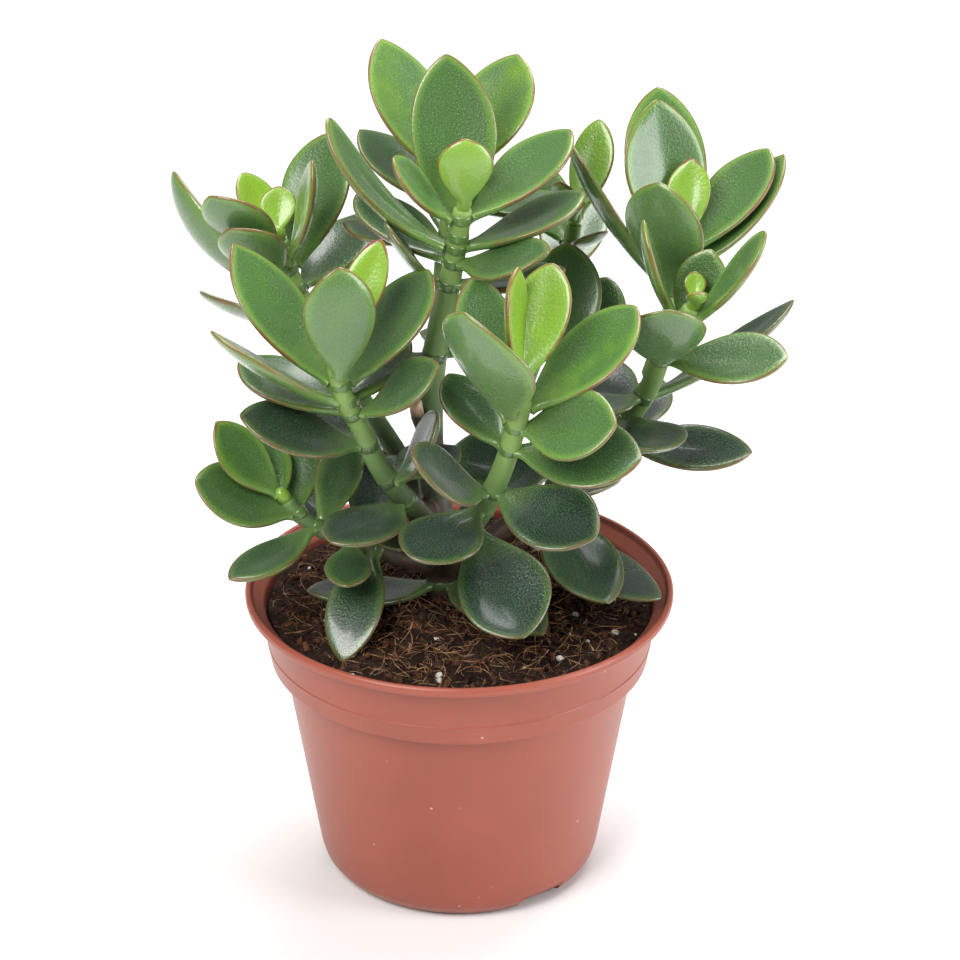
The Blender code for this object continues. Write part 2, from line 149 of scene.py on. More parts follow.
# Each route runs from the older stem out to the growing tip, in mm. A leaf is its azimuth,
# rise, length and width, then if they differ its roll, the curl of its midrib and its cup.
SHOOTS = (
    Shoot("crown", (
        (-4, 0, 64), (-4, 0, 80), (-5, 2, 93), (-6, 4, 108), (-8, 6, 122), (-8, 7, 140),
        (-6, 6, 159), (-3, 4, 174), (-1, 2, 186), (1, 0, 199)), 5.2, 2.6, (
        pair(-1, (275, 84, 19, 15), (95, 58, 16, 12)),
        pair(3, (28, 32, 36, 22), (192, 50, 24, 15, -20)),
        pair(8.5, (98, 66, 47, 23)),
        pair(12, (166, 46, 46, 16, 0, 55), (10, 22, 35, 20)),
        pair(16.5, (322, 20, 31, 18, 20), (130, 12, 39, 18)),
        pair(23.5, (196, 54, 24, 17), (350, 12, 30, 18)),
        pair(46, (20, 15, 28, 19), (200, 0, 24, 16)),
        pair(78, (12, -8, 26, 18, 35), (205, 2, 15, 12)),
        pair(114, (309, 2, 40, 22, 0, -8), (204, 9, 38, 18)),
    )),
    Shoot("crown_back", (
        (-8, 7, 134), (-6, 16, 155), (-4, 23, 177), (-2, 25, 192), (-1, 24, 202)), 3.0, 2.4, (
        pair(-1, (60, 62, 18, 12), (200, 60, 13, 10)),
        pair(4, (133, 50, 42, 23), (53, 46, 38, 23)),
        pair(11, (150, 30, 31, 21), (358, 0, 35, 17)),
        pair(22, (80, 20, 36, 20), (165, 5, 28, 17)),
    )),
    Shoot("left_back", (
        (-6, 4, 104), (-17, 14, 120), (-31, 22, 140), (-42, 25, 160), (-47, 25, 172),
        (-49, 25, 180)), 3.2, 2.3, (
        pair(-1, (142, 52, 19, 14), (90, 60, 13, 10)),
        pair(3.5, (210, 47, 28, 20, 35), (322, 74, 30, 14, 50)),
        pair(9, (58, 60, 38, 21), (225, 44, 26, 18, 35)),
        pair(15, (158, 40, 45, 15, 60, 75), (52, 24, 32, 18)),
        pair(28, (150, 4, 38, 17, 30), (330, 5, 22, 15)),
    )),
    Shoot("left_front", (
        (-5, 3, 100), (-12, -8, 114), (-17, -14, 123), (-22, -18, 133), (-26, -22, 145),
        (-30, -25, 155), (-32, -26, 164), (-32, -26, 169)), 3.4, 2.5, (
        pair(-1, (46, 57, 30, 11, 40), (160, 66, 13, 9)),
        pair(5.5, (278, 82, 33, 19)),
        pair(9.5, (148, 47, 45, 22), (40, 42, 37, 21)),
        pair(15, (190, 35, 40, 18, 15), (60, 20, 28, 16)),
        pair(19, (150, 14, 34, 22), (345, 38, 27, 18, 20)),
        pair(31, (197, 22, 35, 22, -15), (128, 4, 30, 22)),
        pair(45, (325, 60, 27, 17, 40), (40, 5, 23, 17)),
        pair(56, (233, 0, 30, 22)),
    )),
    Shoot("left_low", (
        (-5, 1, 91), (-16, -4, 97), (-26, -6, 102), (-34, -10, 107), (-40, -10, 110),
        (-45, -10, 115), (-47, -10, 118)), 2.9, 2.0, (
        pair(-1, (170, 50, 27, 15, -30), (110, 38, 18, 11)),
        pair(5, (196, 27, 30, 21, -30), (95, 45, 22, 14)),
        pair(11.5, (50, 60, 27, 14, 60), (225, -8, 31, 15)),
        pair(23, (268, -6, 21, 13), (140, 22, 26, 16)),
        pair(31, (254, -32, 35, 16, 0, -30), (92, 66, 27, 16)),
    )),
    Shoot("front", (
        (-4, 1, 90), (-1, -9, 105), (6, -21, 120), (11, -30, 136), (14, -34, 148),
        (16, -36, 158), (16, -36, 164)), 3.5, 2.6, (
        pair(-1, (95, 72, 29, 14, 60), (60, 60, 31, 17)),
        pair(7, (225, 63, 38, 30), (26, 36, 39, 23, 8)),
        pair(12.5, (112, 51, 41, 18), (328, 16, 29, 21, 42)),
        pair(20, (338, 6, 35, 23, 25), (130, 30, 26, 17)),
        pair(37, (219, 36, 30, 21, -30), (319, -5, 33, 23, 20)),
        pair(46, (50, 20, 24, 17), (233, -4, 30, 22, -10)),
        pair(57, (293, -28, 37, 25, 15), (185, -10, 24, 15)),
    )),
    Shoot("right", (
        (-5, 2, 91), (11, 6, 99), (27, 8, 112), (39, 6, 125), (47, 4, 137), (52, 2, 147),
        (55, -1, 158), (60, -4, 168), (62, -5, 173)), 3.8, 2.5, (
        pair(-1, (270, 45, 8, 6), (90, 60, 8, 6)),
        pair(3.7, (178, 72, 29, 14), (352, 56, 31, 14, 15)),
        pair(9.7, (40, 67, 23, 15, 30)),
        pair(19, (338, 10, 34, 20, 20), (270, 56, 26, 23)),
        pair(33, (20, 28, 47, 15, -15), (215, 10, 26, 17)),
        pair(40, (280, 6, 27, 24), (110, 10, 30, 18)),
        pair(49, (346, 0, 37, 18, 15), (60, 12, 28, 16)),
        pair(77, (296, -22, 38, 22), (55, -5, 34, 18)),
        pair(86, (330, -17, 44, 21)),
    )),
    Shoot("right_top", (
        (52, 3, 149), (57, 13, 160), (60, 20, 172), (62, 21, 182)), 2.8, 2.4, (
        pair(-1, (85, 62, 20, 12)),
        pair(4, (115, 68, 41, 25), (38, 40, 36, 19)),
        pair(9, (98, 50, 52, 23), (35, 38, 42, 18)),
        pair(14, (152, 50, 48, 15, 40), (238, 77, 35, 24)),
    )),
    Shoot("right_back", (
        (-4, 4, 92), (6, 20, 107), (16, 32, 127), (25, 40, 149), (30, 42, 166),
        (32, 42, 178)), 3.2, 2.3, (
        pair(-1, (62, 60, 28, 13), (240, 60, 16, 10)),
        pair(6, (130, 45, 28, 20), (300, 34, 15, 11)),
        pair(16, (80, 20, 36, 20), (215, 20, 20, 13)),
        pair(38, (95, 5, 34, 20), (178, 8, 32, 19)),
    )),
    Shoot("mid_right", (
        (26, 8, 111), (29, 10, 127), (29, 10, 139), (28, 8, 147)), 2.8, 2.3, (
        pair(-1, (85, 52, 36, 21), (254, 60, 16, 10)),
        pair(6, (65, 40, 36, 19), (200, 20, 24, 15)),
    )),
)

# Short cut or withered stubs on the old wood: route and radius, mm
STUBS = (
    (((-8, 6, 128), (-11, 1, 137), (-12, -2, 144)), 2.2),
    (((-8, 3, 108), (-12, -6, 113), (-13, -8, 116)), 3.4),
)

# Shoots that have stopped growing: the age of their youngest leaves, from 0 to 1
RESTING_SHOOTS = {"left_low": 0.38, "right_back": 0.28, "mid_right": 0.45, "crown_back": 0.3}


# ---------------------------------------------------------------- shared helpers

def linear(code):
    """An sRGB hex colour as linear RGBA."""
    def channel(value):
        value /= 255
        return value / 12.92 if value <= 0.04045 else ((value + 0.055) / 1.055) ** 2.4
    return (*(channel(int(code[i:i + 2], 16)) for i in (1, 3, 5)), 1.0)


def add_node(tree, kind, settings=None, values=None, links=None):
    """Adds a node with its own settings, its input values and the sockets linked to them."""
    node = tree.nodes.new(kind)
    for name, value in (settings or {}).items():
        setattr(node, name, value)
    for key, value in (values or {}).items():
        node.inputs[key].default_value = value
    for key, socket in (links or {}).items():
        tree.links.new(socket, node.inputs[key])
    return node


def opaque(colour):
    """A hex code, or a linear colour of three or four parts, as linear RGBA without gaps."""
    return linear(colour) if isinstance(colour, str) else (*colour[:3], 1.0)


def finished_mesh(work, name):
    """Turns a bmesh into a mesh and frees it."""
    mesh = bpy.data.meshes.new(name)
    work.to_mesh(mesh)
    work.free()
    return mesh


def new_piece(name, mesh, material=None):
    """A piece at the origin, on its mesh, in the scene."""
    piece = bpy.data.objects.new(name, mesh)
    bpy.context.scene.collection.objects.link(piece)
    if material:
        mesh.materials.append(material)
    return piece


def settle(piece, slot, *nodes):
    """Rides a finished piece on the plant's one body, in place of its solids."""
    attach(piece, ROOT)
    if nodes:
        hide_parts(*nodes)


def evaluated_mesh(obj, name):
    """The mesh that an object's modifiers give."""
    bpy.context.view_layer.update()
    graph = bpy.context.evaluated_depsgraph_get()
    mesh = bpy.data.meshes.new_from_object(obj.evaluated_get(graph))
    mesh.name = name
    return mesh


def bake_modifiers(obj):
    """Replaces an object's mesh with what its modifiers give, and removes them."""
    old = obj.data
    mesh = evaluated_mesh(obj, old.name + "_baked")
    obj.modifiers.clear()
    obj.data = mesh
    bpy.data.meshes.remove(old)


def heading(azimuth, rise=0.0):
    """The unit vector at an azimuth and a rise in degrees."""
    turn = math.radians(azimuth)
    tilt = math.radians(rise)
    return Vector((math.cos(tilt) * math.cos(turn), math.cos(tilt) * math.sin(turn), math.sin(tilt)))


def point_back(line, back):
    """The point and direction that lie `back` mm before the end of a line."""
    left = back
    for end, start in zip(line[::-1], line[-2::-1]):
        span = (end - start).length
        if left <= span:
            return end + (start - end) * (left / span), (end - start).normalized()
        left -= span
    return line[0].copy(), (line[1] - line[0]).normalized()


def route_length(line):
    """The length of a line of points, mm."""
    return sum((end - start).length for start, end in zip(line, line[1:]))


def smooth_route(points, pitch):
    """Points every `pitch` mm along a smooth curve through a route's own points."""
    knots = [Vector(point) for point in points]
    ends = [knots[0] * 2 - knots[1], *knots, knots[-1] * 2 - knots[-2]]
    dense = []
    for before, start, end, after in zip(ends, ends[1:], ends[2:], ends[3:]):
        for step in range(CURVE_STEPS):
            t = step / CURVE_STEPS
            dense.append(0.5 * (2 * start + (end - before) * t
                                + (2 * before - 5 * start + 4 * end - after) * t * t
                                + (3 * start - before - 3 * end + after) * t ** 3))
    dense.append(knots[-1])
    total = route_length(dense)
    count = max(2, round(total / pitch))
    return [point_back(dense, total * (count - index) / count)[0] for index in range(count + 1)]


def stem_radius(shoot, back, length):
    """The radius of a shoot's stem at a distance behind its tip, mm."""
    return shoot.thin + (shoot.thick - shoot.thin) * back / length


def bridge_rings(work, rings, closed_ends=True):
    """Skins a row of rings of vertices into a tube, with its ends closed to a point or a cap."""
    for ring, after in zip(rings, rings[1:]):
        count = len(ring)
        for index in range(count):
            follow = (index + 1) % count
            work.faces.new((ring[index], ring[follow], after[follow], after[index]))
    if closed_ends:
        work.faces.new(rings[0][::-1])
        work.faces.new(rings[-1])


# ---------------------------------------------------------------- materials

class Skin:
    """A material in the making. Most methods add one node and give back its result."""

    def __init__(self, name, values):
        self.material = bpy.data.materials.new(name)
        self.material.use_nodes = True
        self.tree = self.material.node_tree
        self.shader = self.tree.nodes["Principled BSDF"]
        for key, value in values.items():
            self.shader.inputs[key].default_value = value
        self.place = add_node(self.tree, "ShaderNodeTexCoord").outputs["Object"]

    def feed(self, key, socket):
        """Links a result to one of the shader's inputs."""
        self.tree.links.new(socket, self.shader.inputs[key])

    def attribute(self, name):
        """A value that the mesh carries."""
        return add_node(self.tree, "ShaderNodeAttribute", {"attribute_name": name}).outputs["Fac"]

    def noise(self, scale, detail, place=None):
        """Cloudy noise, on the object's own place or on a map."""
        return add_node(self.tree, "ShaderNodeTexNoise", values={"Scale": scale, "Detail": detail},
                        links={"Vector": self.place if place is None else place}).outputs["Fac"]

    def cells(self, scale, place=None):
        """The distance to the nearest of many scattered dots, in space or on a flat map."""
        return add_node(self.tree, "ShaderNodeTexVoronoi",
                        {"voronoi_dimensions": "3D" if place is None else "2D"},
                        {"Scale": scale, "Randomness": 1.0},
                        {"Vector": self.place if place is None else place}).outputs["Distance"]

    def remap(self, socket, source, target=UNIT, smooth=False):
        """A value carried from one range to another."""
        return add_node(
            self.tree, "ShaderNodeMapRange",
            {"interpolation_type": "SMOOTHSTEP" if smooth else "LINEAR"},
            {"From Min": source[0], "From Max": source[1], "To Min": target[0],
             "To Max": target[1]}, {"Value": socket}).outputs["Result"]

    def math(self, operation, *sockets, clamp=False):
        """Arithmetic on two results."""
        return add_node(self.tree, "ShaderNodeMath",
                        {"operation": operation, "use_clamp": clamp},
                        links=dict(enumerate(sockets))).outputs[0]

    def ramp(self, socket, stops):
        """A colour ramp over a value, from its stops: position and colour."""
        node = add_node(self.tree, "ShaderNodeValToRGB", links={"Fac": socket})
        elements = node.color_ramp.elements
        while len(elements) < len(stops):
            elements.new(0.5)
        for element, (position, colour) in zip(elements, stops):
            element.position = position
            element.color = opaque(colour)
        return node.outputs["Color"]

    def tint(self, base, colour, amount):
        """A colour laid over another by an amount from 0 to 1."""
        return add_node(self.tree, "ShaderNodeMix", {"data_type": "RGBA"}, {7: opaque(colour)},
                        {0: amount, 6: base}).outputs[2]

    def relief(self, height, strength, distance):
        """Fine relief on the whole surface."""
        bump = add_node(self.tree, "ShaderNodeBump",
                        values={"Strength": strength, "Distance": distance},
                        links={"Height": height})
        self.feed("Normal", bump.outputs["Normal"])


def pot_plastic(colour):
    """Polypropylene, injection moulded: satin, faintly rippled, paler where it is scuffed."""
    skin = Skin("moulded_polypropylene", {
        "Roughness": 0.36, "IOR": 1.49, "Specular IOR Level": 0.5, "Subsurface Weight": 0.03,
        "Subsurface Radius": (1.0, 0.35, 0.25), "Subsurface Scale": 0.001})
    cloud = skin.noise(45.0, 4.0)
    shade = skin.ramp(cloud, ((0.35, [value * 0.90 for value in colour]), (0.7, colour)))
    # Dust and scuffs: specks of about a third of a millimetre, one every few millimetres
    speck = skin.remap(skin.cells(210.0), (0.05, 0.11), (1.0, 0.0))
    dusty = skin.remap(skin.noise(90.0, 2.0), (0.60, 0.68))
    skin.feed("Base Color", skin.tint(shade, "#CB9C8E", skin.math("MULTIPLY", speck, dusty)))
    skin.feed("Roughness", skin.remap(cloud, UNIT, (0.30, 0.46)))
    skin.relief(skin.noise(320.0, 3.0), 0.12, 0.0002)
    return skin.material


def peat(colour):
    """Peat and coir potting mix: matt, almost black when damp, brown where it has dried."""
    skin = Skin("peat_and_coir", {"Roughness": 0.95, "Specular IOR Level": 0.2})
    grain = skin.noise(900.0, 6.0)
    mottle = skin.math("MULTIPLY", grain, skin.noise(130.0, 3.0))
    skin.feed("Base Color", skin.ramp(mottle, (
        (0.14, [value * 0.35 for value in colour]), (0.28, colour),
        (0.46, [min(1.0, value * 3.4) for value in colour]))))
    skin.relief(grain, 0.9, 0.0012)
    return skin.material


def litter_material(name, stops, roughness, scale):
    """Dry bits in the mix, each shaded by where it lies: fibre, crumb, bark or perlite."""
    skin = Skin(name, {"Roughness": roughness, "Specular IOR Level": 0.25})
    skin.feed("Base Color", skin.ramp(skin.noise(scale, 3.0), stops))
    return skin.material


def stem_skin():
    """Succulent stem: smooth green skin that greys and turns to brown cork as it ages."""
    skin = Skin("jade_stem_skin", {
        "Roughness": 0.5, "Subsurface Weight": 0.12, "Subsurface Radius": (0.6, 1.0, 0.2),
        "Subsurface Scale": 0.0012})
    age = skin.attribute("age")
    blotch = skin.remap(skin.noise(260.0, 5.0), UNIT, (-0.13, 0.13))
    shade = skin.ramp(skin.math("ADD", age, blotch), (
        (0.0, "#7C9A4E"), (0.3, "#64804A"), (0.52, "#4B613B"), (0.7, "#4C4C38"),
        (0.84, "#523F32"), (1.0, "#38291F")))
    ringed = skin.tint(shade, "#6C5A38", skin.attribute("scar"))
    skin.feed("Base Color", skin.tint(ringed, "#C9A48C", skin.attribute("cut")))
    skin.relief(skin.math("MULTIPLY", skin.noise(700.0, 4.0), age), 0.6, 0.0005)
    return skin.material


def leaf_skin(young, ripe, old, edge):
    """Jade leaf: thick green flesh under a waxy cuticle, which gives the broad soft shine.

    The red-brown edge and the pale water pores, about a third of a millimetre across, lie in
    the leaf's own map, in millimetres. The pores are drawn a little larger than real ones.
    """
    skin = Skin("jade_leaf_cuticle", {
        "Roughness": 0.3, "IOR": 1.46, "Subsurface Weight": 0.1,
        "Subsurface Radius": (0.5, 1.0, 0.15), "Subsurface Scale": 0.0012,
        "Coat Weight": 0.55, "Coat Roughness": 0.14, "Sheen Weight": 0.04, "Sheen Roughness": 0.5})
    chart = add_node(skin.tree, "ShaderNodeUVMap", {"uv_map": "leaf_mm"}).outputs["UV"]
    age = skin.attribute("age")
    margin = skin.attribute("margin")
    cloud = skin.noise(120.0, 3.0)
    mottle = skin.remap(cloud, UNIT, (-0.16, 0.16))
    shade = skin.ramp(skin.math("ADD", age, mottle, clamp=True),
                      ((0.0, young), (0.36, ripe), (1.0, old)))
    # The flesh is paler and yellower towards the stem and on the underside.
    neck = skin.remap(skin.attribute("share"), (0.0, 0.35), (0.4, 0.0))
    shade = skin.tint(shade, "#78994A", neck)
    shade = skin.tint(shade, "#6F9457", skin.remap(skin.attribute("under"), UNIT, (0.0, 0.3)))
    pore = skin.remap(skin.cells(1.7, chart), (0.06, 0.26), (0.28, 0.0))
    shade = skin.tint(shade, "#A9C08F", pore)
    # Thin flesh beside the edge lets light through, so it looks paler and yellower.
    thin = skin.remap(margin, (0.3, 3.2), (0.5, 0.0), smooth=True)
    fresh = skin.remap(age, (0.2, 0.8), (1.0, 0.35))
    shade = skin.tint(shade, "#7FAA3C", skin.math("MULTIPLY", thin, fresh))
    # Edge: a red-brown band half a millimetre wide, broken in places
    band = skin.remap(margin, (0.22, 0.72), (1.0, 0.0), smooth=True)
    broken = skin.remap(cloud, (0.35, 0.6), (0.45, 1.0))
    red = skin.math("MULTIPLY", band, skin.attribute("blush"))
    red = skin.math("MULTIPLY", red, broken, clamp=True)
    skin.feed("Base Color", skin.tint(shade, edge, red))
    # The wax is uneven, so its gloss is too.
    skin.feed("Roughness", skin.remap(cloud, (0.3, 0.7), (0.2, 0.36)))
    dimples = add_node(skin.tree, "ShaderNodeMath", {"operation": "MULTIPLY_ADD"}, {1: -0.7},
                       {0: pore, 2: skin.noise(1.1, 3.0, chart)})
    skin.relief(dimples.outputs[0], 0.5, 0.0003)
    return skin.material


# ---------------------------------------------------------------- pot

def pot_outline():
    """The pot's section, up its inner side, over the rim and down to its pad, mm."""
    top = POT_TOP
    collar = top - COLLAR_DROP
    line = collar + 5.4
    slope = (55.6 - 53.3) / (top - 3.0 - collar)
    at_line = 53.3 + slope * (line - collar)
    return (
        (0.0, FLOOR_LIFT + WALL), (36.4, FLOOR_LIFT + WALL), (38.2, 5.2),
        (BODY_LOW_RADIUS - WALL, BODY_LOW_HEIGHT + 0.6),
        (BODY_TOP_RADIUS - WALL, collar - 0.4), (52.0, collar + 1.2),
        (54.3, top - 5.0), (54.8, top - 4.0), (57.9, top - 1.6), (58.5, top - 0.1),
        (59.3, top), (RIM_RADIUS, top - 0.7), (RIM_RADIUS, top - 2.3), (59.2, top - 3.1),
        (55.7, top - 3.2), (at_line + 0.03, line + 0.5), (at_line + 0.22, line + 0.25),
        (at_line + 0.22, line - 0.15), (at_line, line - 0.5),
        (53.35, collar + 0.5), (53.1, collar), (50.4, collar - 0.25),
        (BODY_TOP_RADIUS, collar - 0.9), (BODY_LOW_RADIUS, BODY_LOW_HEIGHT), (39.5, 3.9),
        (37.5, 1.2), (FOOT_RADIUS, 0.0), (FOOT_RADIUS - FOOT_WIDTH, 0.0),
        (FOOT_RADIUS - FOOT_WIDTH - 0.3, FLOOR_LIFT), (PAD_RADIUS, FLOOR_LIFT),
        (PAD_RADIUS, 0.0), (0.0, 0.0),
    )


def rounded_section(points, radius, steps):
    """A section with each of its inner corners turned into a small arc."""
    corners = [Vector(point) for point in points]
    smooth = [corners[0]]
    for last, corner, follow in zip(corners, corners[1:], corners[2:]):
        before = last - corner
        after = follow - corner
        cut = min(radius, before.length * 0.45, after.length * 0.45)
        start = corner + before.normalized() * cut
        end = corner + after.normalized() * cut
        for step in range(steps + 1):
            t = step / steps
            smooth.append(start * (1 - t) ** 2 + corner * 2 * t * (1 - t) + end * t ** 2)
    return [*smooth, corners[-1]]


def turned_mesh(name, section, steps):
    """A section that starts and ends on the axis, turned about Z into a closed body."""
    mesh = bpy.data.meshes.new(name)
    verts = [(point[0] * MM, 0.0, point[1] * MM) for point in section]
    mesh.from_pydata(verts, [(index, index + 1) for index in range(len(verts) - 1)], [])
    profile = new_piece(name + "_profile", mesh)
    screw = profile.modifiers.new("turn", "SCREW")
    screw.axis = "Z"
    screw.angle = math.tau
    screw.steps = steps
    screw.render_steps = steps
    screw.use_merge_vertices = True
    screw.merge_threshold = WELD
    turned = evaluated_mesh(profile, name)
    bpy.data.objects.remove(profile, do_unlink=True)
    work = bmesh.new()
    work.from_mesh(turned)
    bmesh.ops.remove_doubles(work, verts=work.verts, dist=WELD)
    bmesh.ops.recalc_face_normals(work, faces=work.faces)
    work.to_mesh(turned)
    work.free()
    return turned


def cut_with(piece, name, build, place):
    """Cuts a closed tool out of a piece. `build` fills a bmesh, and `place` puts it there."""
    work = bmesh.new()
    build(work)
    bmesh.ops.transform(work, matrix=place, verts=work.verts)
    tool = new_piece(name, finished_mesh(work, name))
    cut = piece.modifiers.new(name, "BOOLEAN")
    cut.operation = "DIFFERENCE"
    cut.solver = "EXACT"
    cut.object = tool
    bake_modifiers(piece)
    bpy.data.objects.remove(tool, do_unlink=True)


def round_tool(work, radius, height):
    """An upright cylinder."""
    bmesh.ops.create_cone(work, cap_ends=True, segments=40, radius1=radius * MM,
                          radius2=radius * MM, depth=height * MM)


def notch_tool(work, height):
    """A bar with rounded upper corners, which cuts a drain notch in the foot."""
    bmesh.ops.create_cube(work, size=1.0, matrix=Matrix.Diagonal(
        (NOTCH_DEPTH * MM, NOTCH_WIDTH * MM, height * 2 * MM, 1.0)))
    upper = [edge for edge in work.edges if all(vert.co.z > 0 for vert in edge.verts)
             and abs(edge.verts[0].co.y - edge.verts[1].co.y) < MM]
    bmesh.ops.bevel(work, geom=upper, offset=1.2 * MM, segments=5, profile=0.5, affect="EDGES")


def build_pot(settings):
    """The moulded pot, with soft corners, drain notches and drain holes."""
    section = rounded_section(pot_outline(), settings.corner / MM, 3)
    pot = new_piece("nursery_pot", turned_mesh("nursery_pot", section, settings.steps),
                    pot_plastic(settings.colour))
    for index in range(SIDE_HOLES):
        spot = heading(index * 360 / SIDE_HOLES) * SIDE_HOLE_RING
        spot.z = FLOOR_LIFT + WALL / 2
        cut_with(pot, f"drain_{index}", lambda work: round_tool(work, SIDE_HOLE_RADIUS, WALL * 4),
                 Matrix.Translation(spot * MM))
    for azimuth in NOTCH_AZIMUTHS:
        for start, height in NOTCH_STEPS:
            place = (Matrix.Translation(heading(azimuth) * (start + NOTCH_DEPTH / 2) * MM)
                     @ Matrix.Rotation(math.radians(azimuth), 4, "Z"))
            cut_with(pot, f"notch_{azimuth}", lambda work: notch_tool(work, height), place)
    pot.data.shade_smooth()
    pot.data.set_sharp_from_angle(angle=math.radians(40))
    settle(pot, "pot", "pot")


# ---------------------------------------------------------------- soil

def soil_lumps(x, y):
    """The large rise and fall of the soil's surface, mm."""
    return (0.9 * math.sin(x * 0.21 + 1.3) * math.cos(y * 0.17 - 0.4)
            + 0.5 * math.sin(x * 0.43 - y * 0.37) + 0.4 * math.cos(y * 0.55 + x * 0.12 + 2.0))


def soil_height(x, y):
    """The height of the soil's surface at a place, mm."""
    radius = math.hypot(x, y)
    fade = min(1.0, max(0.0, (SOIL_RADIUS - radius) / SOIL_FLAT_EDGE))
    spot = Vector((x, y, 0.0))
    clods = noise.fractal(spot / 5.5, 0.9, 2.1, 4) * 1.1
    grit = noise.noise(spot / 1.5) * 0.45
    base = POT_TOP - SOIL_EDGE_DROP + SOIL_MOUND * (1 - (radius / SOIL_RADIUS) ** 2)
    return base + soil_lumps(x, y) * fade + (clods + grit) * (0.35 + 0.65 * fade)


def soil_disc(name, reach, rings, sides, deep=False):
    """The soil's surface as a polar grid; with `deep` it goes on down and closes as a plug."""
    work = bmesh.new()
    rows = []
    for ring in range(1, rings + 1):
        radius = reach * ring / rings
        row = []
        for side in range(sides):
            spot = heading(360 * side / sides) * radius
            row.append(work.verts.new(Vector((spot.x, spot.y, soil_height(spot.x, spot.y))) * MM))
        rows.append(row)
    centre = work.verts.new(Vector((0, 0, soil_height(0, 0))) * MM)
    for side in range(sides):
        follow = (side + 1) % sides
        work.faces.new((centre, rows[0][side], rows[0][follow]))
    bridge_rings(work, [row[::-1] for row in rows][::-1], closed_ends=False)
    if deep:
        collar = POT_TOP - COLLAR_DROP
        lower = ((51.6, collar + 1.7), (BODY_TOP_RADIUS - WALL - GAP, collar - 0.6),
                 (BODY_LOW_RADIUS - WALL - GAP, BODY_LOW_HEIGHT + 1.0), (37.5, 5.8),
                 (35.8, FLOOR_LIFT + WALL + GAP))
        walls = [rows[-1]]
        for radius, height in lower:
            walls.append([work.verts.new((heading(360 * side / sides) * radius
                                          + Vector((0, 0, height))) * MM) for side in range(sides)])
        bridge_rings(work, [wall[::-1] for wall in walls], closed_ends=False)
        work.faces.new(walls[-1][::-1])
    bmesh.ops.recalc_face_normals(work, faces=work.faces)
    mesh = finished_mesh(work, name)
    mesh.shade_smooth()
    return mesh


def scattering_tree(name, sizes):
    """A Geometry Nodes tree with named inputs: those of every scattering, and its own sizes."""
    tree = bpy.data.node_groups.new(name, "GeometryNodeTree")
    tree.interface.new_socket("Geometry", in_out="INPUT", socket_type="NodeSocketGeometry")
    tree.interface.new_socket("Geometry", in_out="OUTPUT", socket_type="NodeSocketGeometry")
    for label, default in {"Density": 1.0, **sizes}.items():
        socket = tree.interface.new_socket(label, in_out="INPUT", socket_type="NodeSocketFloat")
        socket.default_value = default
    tree.interface.new_socket("Seed", in_out="INPUT", socket_type="NodeSocketInt")
    tree.interface.new_socket("Material", in_out="INPUT", socket_type="NodeSocketMaterial")
    return tree, add_node(tree, "NodeGroupInput").outputs


def random_value(tree, seed, low, high):
    """A random number or vector for each point, between two bounds."""
    if isinstance(low, tuple):
        node = add_node(tree, "FunctionNodeRandomValue", {"data_type": "FLOAT_VECTOR"},
                        {0: low, 1: high}, {"Seed": seed})
        return node.outputs[0]
    return add_node(tree, "FunctionNodeRandomValue", {"data_type": "FLOAT"}, {2: low, 3: high},
                    {"Seed": seed}).outputs[1]


def set_down(tree, given, bits, turn, scale, pick=False):
    """Lays bits on random points of the given surface, turned and scaled, as real geometry."""
    points = add_node(tree, "GeometryNodeDistributePointsOnFaces", links={
        "Mesh": given["Geometry"], "Density": given["Density"], "Seed": given["Seed"]})
    placed = add_node(tree, "GeometryNodeInstanceOnPoints", values={"Pick Instance": pick}, links={
        "Points": points.outputs["Points"], "Instance": bits, "Rotation": turn, "Scale": scale})
    return add_node(tree, "GeometryNodeRealizeInstances",
                    links={"Geometry": placed.outputs["Instances"]}).outputs["Geometry"]


def hand_out(tree, given, geometry):
    """Gives the finished bits their material and hands them out of the tree."""
    finish = add_node(tree, "GeometryNodeSetMaterial", links={
        "Geometry": geometry, "Material": given["Material"]})
    add_node(tree, "NodeGroupOutput", links={"Geometry": finish.outputs["Geometry"]})
    return tree


